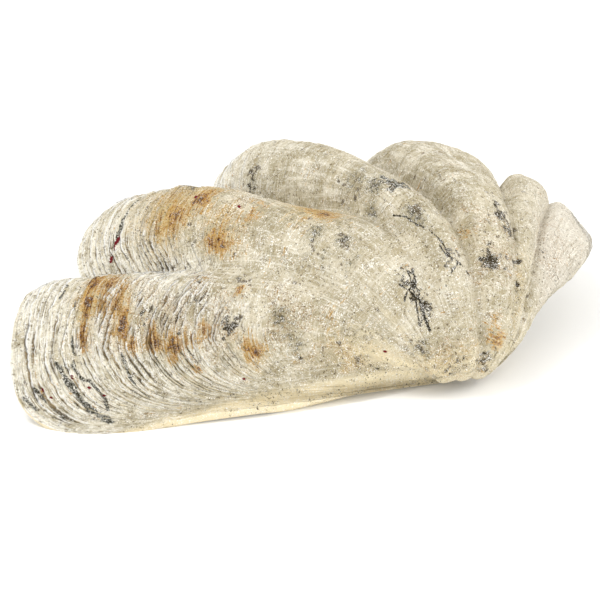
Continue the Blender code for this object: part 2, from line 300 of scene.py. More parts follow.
# Stains: kind, place on the margin, size, reach in places, reach in size, strength
STAINS = [
    ("rust", 7.6, 0.862, 0.35, 0.012, 1.0),
    ("rust", 7.1, 0.859, 0.40, 0.009, 1.0),
    ("rust", 6.6, 0.862, 0.35, 0.007, 0.9),
    ("rust", 7.5, 0.832, 0.45, 0.020, 0.8),
    ("rust", 7.2, 0.800, 0.35, 0.012, 0.7),
    ("rust", 6.7, 0.782, 0.35, 0.010, 1.0),
    ("rust", 6.2, 0.764, 0.30, 0.008, 0.7),
    ("rust", 6.3, 0.720, 0.35, 0.012, 0.9),
    ("rust", 6.0, 0.682, 0.35, 0.018, 0.9),
    ("rust", 6.1, 0.645, 0.25, 0.012, 0.6),
    ("rust", 6.5, 0.611, 0.30, 0.014, 0.6),
    ("rust", 5.7, 0.527, 0.35, 0.018, 1.0),
    ("rust", 5.3, 0.656, 0.25, 0.012, 0.7),
    ("rust", 10.4, 0.775, 0.35, 0.034, 0.8),
    ("rust", 10.7, 0.734, 0.30, 0.022, 0.8),
    ("rust", 9.9, 0.660, 0.35, 0.024, 0.9),
    ("rust", 10.7, 0.603, 0.30, 0.018, 0.6),
    ("rust", 7.8, 0.556, 0.30, 0.014, 0.7),
    ("rust", 12.3, 0.510, 0.70, 0.034, 0.7),
    ("rust", 19.3, 0.353, 0.60, 0.020, 0.7),
    ("rust", 21.1, 0.192, 1.20, 0.016, 0.8),
    ("tan", 7.4, 0.858, 0.80, 0.026, 0.9),
    ("tan", 6.9, 0.785, 0.90, 0.020, 0.7),
    ("tan", 6.2, 0.700, 0.90, 0.040, 0.6),
    ("tan", 10.7, 0.785, 0.80, 0.075, 1.0),
    ("tan", 10.0, 0.665, 0.70, 0.050, 0.7),
    ("tan", 12.4, 0.530, 1.20, 0.060, 0.8),
    ("tan", 5.6, 0.540, 0.90, 0.050, 0.6),
    ("tan", 5.0, 0.300, 2.00, 0.090, 0.6),
    ("tan", 12.0, 0.150, 7.00, 0.040, 0.6),
    ("tan", 24.0, 0.300, 1.20, 0.090, 0.5),
    ("net", 7.4, 0.850, 0.90, 0.035, 0.9),
    ("net", 6.9, 0.770, 0.90, 0.045, 1.0),
    ("net", 6.6, 0.690, 0.80, 0.050, 1.0),
    ("net", 7.3, 0.620, 0.90, 0.050, 0.8),
    ("net", 5.9, 0.580, 0.80, 0.050, 0.8),
    ("net", 10.7, 0.760, 0.80, 0.090, 0.8),
    ("net", 10.2, 0.650, 0.80, 0.060, 0.8),
    ("net", 12.3, 0.520, 1.00, 0.060, 0.7),
    ("net", 7.2, 0.440, 1.00, 0.050, 0.9),
    ("net", 5.0, 0.330, 1.60, 0.080, 0.7),
    ("net", 12.0, 0.160, 8.00, 0.050, 0.7),
    ("net", 21.0, 0.330, 3.00, 0.100, 0.6),
    ("net", 28.0, 0.550, 2.00, 0.200, 0.6),
    ("grey", 7.0, 0.461, 0.40, 0.018, 1.0),
    ("grey", 6.4, 0.436, 0.60, 0.016, 0.8),
    ("grey", 5.7, 0.425, 0.60, 0.020, 0.8),
    ("grey", 8.3, 0.581, 0.30, 0.014, 0.8),
    ("grey", 9.3, 0.806, 0.30, 0.018, 0.6),
    ("grey", 11.2, 0.789, 0.30, 0.016, 0.8),
    ("grey", 10.8, 0.470, 0.35, 0.014, 1.0),
    ("grey", 11.1, 0.419, 0.40, 0.014, 1.0),
    ("grey", 10.2, 0.427, 0.50, 0.016, 0.6),
    ("grey", 10.5, 0.381, 0.50, 0.014, 0.7),
    ("grey", 15.4, 0.527, 0.45, 0.026, 0.9),
    ("grey", 15.6, 0.479, 0.45, 0.020, 1.0),
    ("grey", 14.5, 0.448, 0.45, 0.020, 1.0),
    ("grey", 15.8, 0.378, 0.50, 0.022, 1.0),
    ("grey", 10.2, 0.201, 1.40, 0.018, 0.9),
    ("grey", 4.0, 0.290, 0.60, 0.018, 0.9),
    ("grey", 15.0, 0.852, 0.35, 0.016, 0.9),
    ("grey", 22.5, 0.400, 1.00, 0.040, 0.5),
    ("dark", 6.6, 0.566, 0.30, 0.013, 0.9),
    ("dark", 7.3, 0.635, 0.15, 0.006, 1.0),
    ("dark", 6.8, 0.742, 0.20, 0.008, 0.8),
    ("dark", 16.2, 0.455, 0.35, 0.016, 1.0),
    ("dark", 20.6, 0.305, 0.60, 0.020, 1.0),
    ("dark", 21.4, 0.478, 0.14, 0.010, 0.8),
    ("dark", 21.5, 0.450, 0.14, 0.008, 0.8),
    ("dark", 21.6, 0.416, 0.20, 0.012, 0.9),
    ("dark", 21.9, 0.385, 0.30, 0.012, 0.9),
    ("dark", 22.6, 0.388, 0.30, 0.008, 0.8),
    ("dark", 23.5, 0.362, 0.30, 0.010, 0.8),
    ("dark", 22.6, 0.330, 0.50, 0.014, 0.7),
    ("dark", 23.2, 0.300, 0.50, 0.012, 0.7),
    ("dark", 27.6, 0.507, 0.50, 0.030, 0.6),
    ("dark", 12.3, 0.285, 0.70, 0.020, 0.9),
    ("dark", 12.2, 0.240, 0.80, 0.020, 0.8),
    ("dark", 16.6, 0.296, 0.80, 0.016, 0.7),
    ("dark", 14.0, 0.140, 6.00, 0.018, 0.7),
    ("dark", 20.8, 0.150, 1.60, 0.030, 0.7),
    ("dark", 15.0, 0.855, 0.20, 0.010, 0.8),
]

# Cracks and broken grooves: kind, width, depth, then the places and sizes that each runs through
# A negative depth only fills a groove that the run crosses
RUNS = [
    ("groove", 0.0048, 0.0026, ((6.0, 0.914), (5.5, 0.904), (4.7, 0.909), (4.1, 0.928))),
    ("groove", 0.0022, 0.0016, ((5.9, 0.887), (5.5, 0.878), (5.4, 0.865), (4.8, 0.865), (4.5, 0.888))),
    ("groove", 0.0022, 0.0012, ((5.6, 0.969), (5.3, 0.963), (4.6, 0.966))),
    ("groove", 0.0022, 0.0012, ((5.4, 0.993), (5.0, 0.984))),
    ("groove", 0.0020, 0.0012, ((6.0, 0.787), (5.2, 0.790), (4.5, 0.800))),
    ("groove", 0.0032, 0.0016, ((10.0, 0.904), (10.3, 0.900), (10.7, 0.899))),
    ("groove", 0.0022, 0.0012, ((7.6, 0.919), (7.3, 0.919))),
    ("groove", 0.0020, 0.0010, ((7.2, 0.886), (6.4, 0.882), (5.8, 0.884))),
    ("crack", 0.0022, 0.0012, (
        (13.3, 0.305), (12.7, 0.281), (11.9, 0.283), (12.4, 0.261), (12.0, 0.240), (11.9, 0.218))),
    ("crack", 0.0016, 0.0010, ((11.2, 0.276), (11.9, 0.283), (11.6, 0.297))),
    ("crack", 0.0018, 0.0010, ((16.2, 0.319), (16.4, 0.302), (17.2, 0.292), (18.4, 0.275))),
    ("crack", 0.0014, 0.0008, ((17.2, 0.292), (16.3, 0.281), (15.4, 0.264))),
    ("crack", 0.0012, 0.0008, ((15.0, 0.405), (15.4, 0.384), (15.6, 0.360))),
    ("crack", 0.0013, 0.0008, ((12.84, 0.307), (13.2, 0.294), (12.46, 0.286), (12.84, 0.307))),
    ("crack", 0.0012, 0.0008, ((12.46, 0.286), (12.8, 0.272), (12.02, 0.264), (12.46, 0.286))),
    ("crack", 0.0012, 0.0008, ((12.02, 0.264), (11.7, 0.252), (11.36, 0.240))),
    ("crack", 0.0014, 0.0008, ((15.7, 0.359), (16.2, 0.336), (16.6, 0.318), (16.6, 0.295))),
    ("groove", 0.0032, -0.0020, (
        (16.04, 0.488), (16.02, 0.469), (16.4, 0.473), (16.14, 0.446), (16.82, 0.465), (16.68, 0.441))),
    ("red", 0.0024, 0.0, ((10.14, 0.897), (10.05, 0.903), (9.95, 0.912))),
    ("seam", 0.0016, -0.0008, ((13.7, 0.280), (14.7, 0.257), (17.0, 0.250))),
    ("red", 0.0022, 0.0, ((5.5, 0.955), (5.45, 0.955))),
    ("red", 0.0021, 0.0, ((9.8, 0.923), (9.7, 0.928))),
]

# Dark red dots: place, size, width
RED_DOTS = [
    (5.6, 0.894, 0.0026),
    (5.2, 0.874, 0.0026),
    (5.2, 0.949, 0.0021),
    (8.4, 0.688, 0.0022),
    (10.7, 0.642, 0.0026),
    (10.7, 0.748, 0.0026),
    (6.1, 0.231, 0.0029),
    (4.5, 0.590, 0.0021),
    (4.9, 0.861, 0.0021),
]
DOT_LENGTH = 0.001


def margin_points():
    """The margin's points as positions."""
    out = []
    for _, direction, reach, height in MARGIN:
        turn = radians(direction)
        out.append((reach * np.cos(turn), reach * np.sin(turn), height))
    return np.array(out)


def spline(points, where):
    """A smooth curve through the points, read at the places in where, counted in points."""
    last = len(points) - 1
    gaps = np.linalg.norm(np.diff(points, axis=0), axis=1) ** 0.5
    rows = np.eye(last + 1)
    right = np.zeros((last + 1, 3))
    for i in range(1, last):
        rows[i, i - 1] = gaps[i - 1]
        rows[i, i] = 2 * (gaps[i - 1] + gaps[i])
        rows[i, i + 1] = gaps[i]
        after = (points[i + 1] - points[i]) / gaps[i]
        before = (points[i] - points[i - 1]) / gaps[i - 1]
        right[i] = 6 * (after - before)
    bend = np.linalg.solve(rows, right)
    where = np.clip(np.asarray(where, float), 0, last)
    cell = np.minimum(where.astype(int), last - 1)
    gap = gaps[cell][:, None]
    b = ((where - cell) * gaps[cell])[:, None]
    a = gap - b
    curve = (bend[cell] * a**3 + bend[cell + 1] * b**3) / (6 * gap)
    curve += (points[cell] / gap - bend[cell] * gap / 6) * a
    curve += (points[cell + 1] / gap - bend[cell + 1] * gap / 6) * b
    return curve


def without_folds(points, where):
    """The margin with its folds evened out."""
    fine = np.linspace(0, len(points) - 1, FINE_STEPS + 1)
    curve = spline(points, fine)
    step = fine[1]
    half = int(round(3 * FOLD_SMOOTHING / step))
    weights = np.exp(-0.5 * (np.arange(-half, half + 1) * step / FOLD_SMOOTHING) ** 2)
    weights /= weights.sum()
    left = 2 * curve[0] - curve[1:half + 1][::-1]
    right = 2 * curve[-1] - curve[-half - 1:-1][::-1]
    padded = np.vstack([left, curve, right])
    even = [np.convolve(padded[:, i], weights, "valid") for i in range(3)]
    return np.stack([np.interp(where, fine, axis) for axis in even], 1)


def by_direction(where, pairs):
    """A value given by direction, read at places on the margin and smoothed a little."""
    fine = np.linspace(0, len(MARGIN) - 1, FINE_STEPS + 1)
    directions = np.interp(fine, np.arange(len(MARGIN)), [m[1] for m in MARGIN])
    values = np.interp(directions, [p[0] for p in pairs], [p[1] for p in pairs])
    width = int(round(VALUE_SMOOTHING / fine[1])) // 2
    for _ in range(2):
        padded = np.pad(values, width, mode="edge")
        values = np.convolve(padded, np.ones(2 * width + 1) / (2 * width + 1), "valid")
    return np.interp(where, fine, values)


def sweep(where, sizes, fold_loss=0.0):
    """Earlier margins. sizes has a row for each margin, and may differ from place to place."""
    points = margin_points()
    folded = spline(points, where)
    even = without_folds(points, where)
    tilts = by_direction(where, TILTS)
    fades = by_direction(where, FOLD_FADES)
    turn_shares = by_direction(where, TURN_SHARES)
    shift_shares = by_direction(where, SHIFT_SHARES)[:, None]
    sizes = np.broadcast_to(sizes, (len(sizes), len(where)))
    steps = np.arange(1, HINGE_COLUMNS)[:, None] / HINGE_COLUMNS
    rows = []
    for size in sizes:
        age = -np.log(size)
        turn = STEADY_TURN * age + WHOLE_TURN * (1 - np.exp(-(age / TURN_SPAN) ** 2))
        turn += LATE_DROOP * (1 - np.exp(-np.maximum(age, 0) / LATE_DROOP_SPAN))
        turn = (turn * turn_shares)[:, None]
        young = np.maximum(1 - size / YOUNG_UNTIL, 0)[:, None]
        young = young**2 * (3 - 2 * young)
        beak = np.array(BEAK) + shift_shares * np.array(HINGE_SHIFT)
        beak = beak + (1 - shift_shares) * young * np.array(YOUNG_SHIFT)
        folds = (size**fades * (1 - fold_loss * (1 - size)))[:, None]
        arm = even + folds * (folded - even) - beak
        tilt = tilts * size**TILT_FADE
        axes = np.stack([np.ones_like(tilt), 0 * tilt, -tilt], 1)
        axes /= np.linalg.norm(axes, axis=1)[:, None]
        along = axes * (axes * arm).sum(1)[:, None]
        turned = arm * np.cos(turn) + np.cross(axes, arm) * np.sin(turn)
        turned += along * (1 - np.cos(turn))
        row = beak + size[:, None] * turned
        line = row[-1] + (row[0] - row[-1]) * steps
        rows.append(np.vstack([row, line]))
    return np.array(rows)


def normals(grid):
    """Outward directions of a grid whose columns close on themselves."""
    along = np.roll(grid, -1, axis=1) - np.roll(grid, 1, axis=1)
    down = np.gradient(grid, axis=0)
    out = np.cross(down, along)
    return out / np.maximum(np.linalg.norm(out, axis=2, keepdims=True), 1e-12)


def smooth_step(value, low, high):
    """0 below low, 1 above high, and smooth between."""
    share = np.clip((value - low) / (high - low), 0, 1)
    return share * share * (3 - 2 * share)


def noise(points, scale, seed):
    """Smooth noise from -1 to 1 with features of about that scale, at points of shape (..., 3)."""
    rng = np.random.default_rng(seed)
    table = rng.uniform(-1, 1, NOISE_VALUES)
    spot = np.asarray(points, float) / scale + NOISE_OFFSET
    cell = np.floor(spot).astype(np.int64)
    part = spot - cell
    part = part * part * (3 - 2 * part)
    total = np.zeros(spot.shape[:-1])
    for corner in range(8):
        pick = np.array([corner & 1, corner >> 1 & 1, corner >> 2 & 1])
        here = cell + pick
        x, y, z = np.moveaxis(here * NOISE_PRIMES, -1, 0)
        key = x ^ y ^ z
        weight = np.prod(np.where(pick, part, 1 - part), axis=-1)
        total += weight * table[(key >> 3 ^ key) & (NOISE_VALUES - 1)]
    return total


def layered_noise(points, layers):
    """Noise in space, added up from layers."""
    return sum(height * noise(points, scale, seed) for height, scale, seed in layers)


def grown_noise(places, sizes, layers):
    """Noise that follows the growth lines, added up from layers."""
    total = 0
    for height, by_place, by_size, seed in layers:
        spots = np.stack(np.broadcast_arrays(places * by_place, sizes * by_size, 0.0), -1)
        total = total + height * noise(spots, 1.0, seed)
    return total


def column_places():
    """Places on the margin, spread evenly along its length."""
    fine = np.linspace(0, len(MARGIN) - 1, COLUMN_STEPS + 1)
    curve = spline(margin_points(), fine)
    gaps = np.linalg.norm(np.diff(curve, axis=0), axis=1)
    length = np.concatenate([[0], np.cumsum(gaps)])
    return np.interp(np.linspace(0, length[-1], COLUMNS), length, fine)


def lamella_rows():
    """Rows of the outside: size, height from 0 at a lamella's foot to 1 at its edge, lamella and gap."""
    rng = np.random.default_rng(GAP_SEED)
    rows = []
    edge = 1.0
    lamella = 0
    while edge > SMALLEST:
        low, high = LAMELLA_GAP if edge > EARLY_FROM else EARLY_GAP
        gap = rng.uniform(low, high)
        foot = edge - gap + min(LAMELLA_FOOT, gap * LAMELLA_FOOT_SHARE)
        for share in LAMELLA_BACK:
            rows.append((edge - (edge - foot) * share, 1 - share**LAMELLA_CURVE, lamella, gap))
        lamella += 1
        rows.append((foot, 0.0, lamella, gap))
        edge -= gap
    return np.array(rows)


def stain_masks(places, sizes):
    """For each kind of stain, how strong it is at each point, from 0 to 1."""
    masks = {}
    for kind, place, size, wide, long, strength in STAINS:
        away = ((places - place) / wide) ** 2 + ((sizes - size) / long) ** 2
        spot = strength * np.exp(-away / 2)
        masks[kind] = np.maximum(masks.get(kind, 0 * places), spot)
    return masks


def run_marks(grid):
    """How strong each kind of crack or groove is at each point, and how deep they all are."""
    flat = grid.reshape(-1, 3)
    ragged = layered_noise(flat, RAGGED)
    marks = {}
    depth = np.zeros(len(flat))
    dots = []
    for place, size, width in RED_DOTS:
        dots.append(("red", width, 0.0, ((place, size), (place, size - DOT_LENGTH))))
    for kind, width, deep, run in RUNS + dots:
        corners = [sweep(np.array([place]), np.array([[size]]))[0, 0] for place, size in run]
        near = np.full(len(flat), 9.0)
        for a, b in zip(corners[:-1], corners[1:]):
            line = b - a
            share = np.clip((flat - a) @ line / (line @ line), 0, 1)
            near = np.minimum(near, np.linalg.norm(flat - a - share[:, None] * line, axis=1))
        mark = 1 - smooth_step(near / width + ragged * (kind != "red"), 0.25, 0.95)
        marks[kind] = np.maximum(marks.get(kind, 0), mark)
        depth = np.maximum(depth, mark * deep) if deep >= 0 else np.maximum(depth + mark * deep, 0)
    shape = grid.shape[:2]
    return {kind: mark.reshape(shape) for kind, mark in marks.items()}, depth.reshape(shape)


def build_outside(where):
    """The outside's points, and what its material reads at each of them."""
    rows = lamella_rows()
    base = rows[:, 0][:, None]
    shape = rows[:, 1][:, None]
    lamella = rows[:, 2][:, None]
    gaps = rows[:, 3][:, None]

    # Growth lines wander a little as they go round, and each lamella's edge is chipped by itself
    fade = smooth_step(1 - base, 0.0, CHIPS_FADE)
    sway = grown_noise(where, base, SWAY) * fade
    chips = grown_noise(where, lamella, CHIPS) * fade
    weight = np.where(shape > 0, shape, 1.0)
    bent = np.interp(where, [e[0] for e in ELBOW], [e[1] for e in ELBOW])
    bent = bent * smooth_step(1 - base, *ELBOW_LATE) * smooth_step(base, *ELBOW_EARLY)
    sizes = base * (1 + sway) - bent + CHIPPING * gaps * chips * weight
    sizes = np.minimum(sizes, 1.0)
    grid = sweep(where, sizes)
    smooth = sweep(where, base)
    out = normals(smooth)

    # Places and sizes of the hinge line's columns too
    spare = HINGE_COLUMNS - 1
    sizes = np.concatenate([sizes, np.broadcast_to(base, (len(rows), spare))], 1)
    places = np.concatenate([where, np.linspace(where[-1], where[-1] + 1, spare + 2)[1:-1]])
    places = np.broadcast_to(places, sizes.shape)
    directions = np.interp(places, np.arange(len(MARGIN)), [m[1] for m in MARGIN])

    # How strong the lamellae are
    gone = np.interp(directions, [w[0] for w in WEAR], [w[1] for w in WEAR])
    whole = np.interp(directions, [w[0] for w in WEAR], [w[2] for w in WEAR])
    strong = WORN_LEFT + (1 - WORN_LEFT) * smooth_step(sizes, gone, whole)
    strong = strong * np.clip(PATCH_MIDDLE + grown_noise(places, sizes, PATCHES), *PATCH_RANGE)
    strong = strong * (HINGE_LEFT + (1 - HINGE_LEFT) * smooth_step(smooth[:1, :, 1], *HINGE_FADE))
    each = np.random.default_rng(STRENGTH_SEED).uniform(*LAMELLA_STRENGTHS, int(rows[-1, 2]) + 1)
    each = each[rows[:, 2].astype(int)][:, None]
    layered = strong
    strong = strong * each
    height = LAMELLA_STEP * (shape - LAMELLA_MIDDLE) * strong

    # Lumps and swells
    late = smooth_step(1 - base, 0.0, BUMPS_FADE)
    height += layered_noise(grid, LUMPS) * late
    for place, size, wide, long, tall in SWELLS:
        away = ((places - place) / wide) ** 2 + ((sizes - size) / long) ** 2
        height += tall * np.exp(-away / 2) * late

    # Wear, pits, crust, grooves and cracks
    masks = stain_masks(places, sizes)
    rough = 1 + sum(share * masks[kind] for kind, share in CRUST.items())
    pits = smooth_step(layered_noise(grid, PITS), *PIT_RANGE)
    fine = layered_noise(grid, FINE_BUMPS) * rough - PIT_DEPTH * pits * np.clip(rough - 0.4, 0, 2)
    marks, depth = run_marks(grid)
    height += fine - depth
    grid = grid + out * height[:, :, None]

    values = {
        # gap places painted shade at each lamella's foot, and edge a painted highlight on its lip
        "gap": (1 - shape) ** 3 * np.clip(strong, 0, STRONGEST),
        "edge": shape**3 * np.clip(strong, 0, STRONGEST),
        "low": np.clip(-fine / PIT_DEPTH, -1, 2),
        "layered": np.clip(layered, 0, STRONGEST),
    }
    values.update(masks)
    values.update(marks)
    grown = np.stack([places, sizes, 0 * sizes], 2)
    return grid, values, grown


def build_inside(where, outside):
    """The inside's points, set in from the same sweep by the wall and rounded off under the beak."""
    roof = CAVITY_END + ROOF_HOLE
    sizes = np.concatenate([
        np.linspace(1.0, CAVITY_ROUNDS_FROM, INNER_ROWS // 2, endpoint=False),
        roof + (CAVITY_ROUNDS_FROM - roof) * np.cos(
            np.linspace(0, np.pi / 2, INNER_ROWS - INNER_ROWS // 2)),
    ])
    grid = sweep(where, sizes[:, None], INNER_FOLD_LOSS)
    out = normals(grid)
    count = len(where)
    for _ in range(NORMAL_PASSES):
        even = (np.roll(out, 1, axis=1) + np.roll(out, -1, axis=1)) / 2
        out = out + (even - out) * NORMAL_SHARE
    out /= np.linalg.norm(out, axis=2, keepdims=True)
    far = np.linalg.norm(outside[0] - outside[-1].mean(0), axis=1)
    hinge = np.clip((HINGE_WALL_FADES - far) / (HINGE_WALL_FADES - HINGE_WALL_TO), 0, 1)
    hinge[count:] = 1
    for i, size in enumerate(sizes):
        middle = grid[i, :count].mean(0)
        inward = middle - grid[i]
        inward /= np.linalg.norm(inward, axis=1)[:, None]
        inward = inward * hinge[:, None] - out[i] * (1 - hinge[:, None])
        inward /= np.linalg.norm(inward, axis=1)[:, None]
        wall = MARGIN_WALL + (BODY_WALL - MARGIN_WALL) * min((1 - size) / BODY_WALL_AT, 1)
        wall = np.minimum(wall, WALL_OF_REACH * size * far)
        wall = wall + (HINGE_WALL - wall) * hinge
        grid[i] += inward * wall[:, None]
        if size < CAVITY_ROUNDS_FROM:
            gone = (CAVITY_ROUNDS_FROM - size) / (CAVITY_ROUNDS_FROM - CAVITY_END)
            middle = grid[i].mean(0)
            grid[i] = middle + (grid[i] - middle) * np.sqrt(max(1 - gone**2, 0))
    return grid, sizes


def grid_normals(rings):
    """Smooth outward directions of closed rings, from the quads round each point."""
    beside = np.roll(rings, -1, axis=1)
    quads = np.cross(beside[1:] - rings[:-1], rings[1:] - beside[:-1])
    quads = np.concatenate([quads[:1] * 0, quads, quads[:1] * 0])
    total = quads[1:] + quads[:-1]
    total = total + np.roll(total, 1, axis=1)
    return total / np.maximum(np.linalg.norm(total, axis=2, keepdims=True), 1e-15)


def add_piece(name, rings, directions, values, tip=None):
    """A piece of the valve from a block of rings, with the values that its material reads."""
    count, columns = rings.shape[:2]
    points = rings.reshape(-1, 3)
    row, column = np.meshgrid(np.arange(count - 1), np.arange(columns - 1), indexing="ij")
    a = (row * columns + column).ravel()
    faces = np.stack([a, a + 1, a + columns + 1, a + columns], 1).tolist()
    directions = directions.reshape(-1, 3)
    flat = {key: value.reshape(count * columns, -1) for key, value in values.items()}
    if tip is not None:
        row_start = 0 if tip[1] == "first" else (count - 1) * columns
        last = len(points)
        points = np.vstack([points, tip[0]])
        directions = np.vstack([directions, directions[row_start:row_start + columns].mean(0)])
        flat = {key: np.vstack([value, value[row_start:row_start + 1]]) for key, value in flat.items()}
        for j in range(row_start, row_start + columns - 1):
            faces.append((last, j + 1, j) if tip[1] == "first" else (last, j, j + 1))
    mesh = bpy.data.meshes.new(name)
    mesh.from_pydata(points.tolist(), [], faces)
    mesh.polygons.foreach_set("use_smooth", [True] * len(faces))
    for key, value in flat.items():
        kind = "FLOAT_VECTOR" if value.shape[1] == 3 else "FLOAT"
        data = mesh.attributes.new(key, kind, "POINT").data
        field = "vector" if kind == "FLOAT_VECTOR" else "value"
        data.foreach_set(field, value.astype(np.float32).ravel())
    mesh.update()
    mesh.normals_split_custom_set_from_vertices(directions.tolist())
    item = bpy.data.objects.new(name, mesh)
    bpy.context.scene.collection.objects.link(item)
    return item


def build_valve():
    """The valve's pieces: the outside with the lip in blocks side by side, and the inside."""
    where = column_places()
    outside, values, grown = build_outside(where)
    inside, inner_sizes = build_inside(where, outside)
    columns = outside.shape[1]

    # The lip bulges a little past both
    along = np.roll(outside[0], -1, axis=0) - np.roll(outside[0], 1, axis=0)
    away = np.cross(along, inside[0] - outside[0])
    away /= np.linalg.norm(away, axis=1)[:, None]
    lips = []
    for share, _ in LIP_RINGS:
        bulge = LIP * (1 - (2 * share - 1) ** 2)
        lips.append(outside[0] * (1 - share) + inside[0] * share + away * bulge)
    rings = np.array(list(outside[::-1]) + lips + list(inside))
    tip = outside[-1].mean(0)
    roof = inside[-1].mean(0)

    # It lies where the solid lies, and no bump passes the solid's box
    rings[:, :, 2] = np.maximum(rings[:, :, 2], 0)
    move = np.array([-BOX_MIDDLE[0], -BOX_MIDDLE[1], cad_low[2]])
    rings = np.clip(rings + move, np.array(cad_low), np.array(cad_high))
    directions = grid_normals(rings)

    # What the outside's material reads, with the margin's own values on the lip
    values["grown"] = grown
    for key, value in values.items():
        value = np.broadcast_to(value, grown.shape[:2] + value.shape[2:])[::-1]
        values[key] = np.concatenate([value, np.repeat(value[-1:], len(lips), axis=0)])
    values["lip"] = np.zeros(values["low"].shape)
    for row, (_, brown) in zip(range(-len(lips), 0), LIP_RINGS):
        values["lip"][row] = brown

    pieces = []
    count = len(outside) + len(lips)
    bounds = np.linspace(0, columns, PIECES + 1).astype(int)
    for k in range(PIECES):
        span = np.arange(bounds[k], bounds[k + 1] + 1) % columns
        block = {key: value[:, span] for key, value in values.items()}
        name = "valve_outside_%d" % (k + 1)
        start = (tip + move, "first")
        pieces.append(add_piece(name, rings[:count, span], directions[:count, span], block, start))

    span = np.arange(columns + 1) % columns
    sizes = np.concatenate([[1.0], inner_sizes])
    place = np.broadcast_to(grown[0, span, 0], (len(sizes), columns + 1))
    size = np.broadcast_to(sizes[:, None], place.shape)
    block = {"grown": np.stack([place, size, 0 * size], 2)}
    first = count - 1
    end = (roof + move, "last")
    inner = add_piece("valve_inside", rings[first:, span], directions[first:, span], block, end)
    return pieces, inner


# Materials
class Nodes:
    """Adds nodes to one material, with short calls."""

    def __init__(self, name):
        self.material = bpy.data.materials.new(name)
        self.material.use_nodes = True
        self.tree = self.material.node_tree
        self.shader = self.tree.nodes["Principled BSDF"]

    def add(self, kind, inputs=(), **settings):
        node = self.tree.nodes.new("ShaderNode" + kind)
        for name, value in settings.items():
            setattr(node, name, value)
        for name, value in dict(inputs).items():
            self.set(node.inputs[name], value)
        return node

    def set(self, socket, value):
        if isinstance(value, bpy.types.NodeSocket):
            self.tree.links.new(value, socket)
        else:
            socket.default_value = value

    def value(self, name):
        """A number that the mesh gives at each point."""
        return self.add("Attribute", attribute_name=name).outputs["Fac"]

    def noise(self, vector, scale, detail=3.0, roughness=0.55, warp=0.0):
        inputs = {"Vector": vector, "Scale": scale, "Detail": detail}
        inputs.update({"Roughness": roughness, "Distortion": warp})
        return self.add("TexNoise", inputs).outputs["Fac"]

    def spread(self, value, amount):
        """Noise moved to lie round zero, and made stronger."""
        return self.times(self.math("SUBTRACT", value, 0.5), amount)

    def step(self, value, low, high, start=0.0, end=1.0):
        inputs = {"Value": value, "From Min": low, "From Max": high, "To Min": start, "To Max": end}
        return self.add("MapRange", inputs, interpolation_type="SMOOTHSTEP").outputs["Result"]

    def math(self, operation, a, b=0.0):
        node = self.add("Math", {0: a, 1: b}, operation=operation)
        return node.outputs[0]

    def times(self, a, b):
        return self.math("MULTIPLY", a, b)

    def plus(self, a, b):
        return self.math("ADD", a, b)

    def mix(self, factor, a, b, blend="MIX"):
        node = self.add("Mix", data_type="RGBA", blend_type=blend)
        self.set(node.inputs["Factor"], factor)
        self.set(node.inputs[6], a)
        self.set(node.inputs[7], b)
        return node.outputs[2]

    def scaled(self, vector, amounts):
        node = self.add("VectorMath", {0: vector, 1: amounts}, operation="MULTIPLY")
        return node.outputs[0]

    def bump(self, height, distance, strength=1.0, normal=None):
        inputs = {"Height": height, "Distance": distance, "Strength": strength}
        if normal is not None:
            inputs["Normal"] = normal
        return self.add("Bump", inputs).outputs["Normal"]


def outside_signals(n):
    """Noises along the growth lines and in space, and masks, that the outside's layers share."""
    s = SimpleNamespace()
    grown = n.add("Attribute", attribute_name="grown").outputs["Vector"]
    spot = n.add("SeparateXYZ", {"Vector": grown}).outputs
    s.on_margin = spot["X"]
    s.size = spot["Y"]
    s.lines = n.noise(n.scaled(grown, (0.7, 300.0, 1.0)), 1.0, 3.0, 0.55, 0.3)
    s.strands = n.noise(n.scaled(grown, (0.55, 160.0, 1.0)), 1.0, 2.0, 0.5, 0.3)
    s.bands = n.noise(n.scaled(grown, (0.7, 60.0, 1.0)), 1.0, 3.0, 0.5, 0.3)
    s.ribs = n.noise(n.scaled(grown, (9.0, 6.0, 1.0)), 1.0, 3.0, 0.6, 0.2)

    s.place = n.add("TexCoord").outputs["Object"]
    s.broad = n.noise(s.place, 9.0, 4.0, 0.6)
    s.patches = n.noise(s.place, 30.0, 3.0, 0.5, 0.6)
    s.cloud = n.noise(s.place, 42.0, 6.0, 0.7)
    s.flecks = n.noise(s.place, 190.0, 4.0, 0.7)
    s.grain = n.noise(s.place, 460.0, 4.0, 0.75)
    s.fine = n.noise(s.place, 950.0, 2.0, 0.6)

    s.low = n.value("low")
    s.layered = n.value("layered")
    s.rugged = n.step(s.layered, 0.10, 0.60, 0.22, 1.0)
    s.worn = n.times(n.step(s.layered, 0.50, 0.15), n.step(s.cloud, 0.42, 0.56, 0.3, 1.0))
    breaks = n.plus(n.spread(s.cloud, 2.0), n.spread(s.flecks, 1.8))
    s.breaks = n.plus(n.spread(s.lines, 1.8), breaks)
    s.rust = n.plus(n.value("rust"), s.breaks)
    s.ridge = n.step(n.math("ABSOLUTE", n.spread(s.flecks, 1.0)), 0.022, 0.008)
    return s


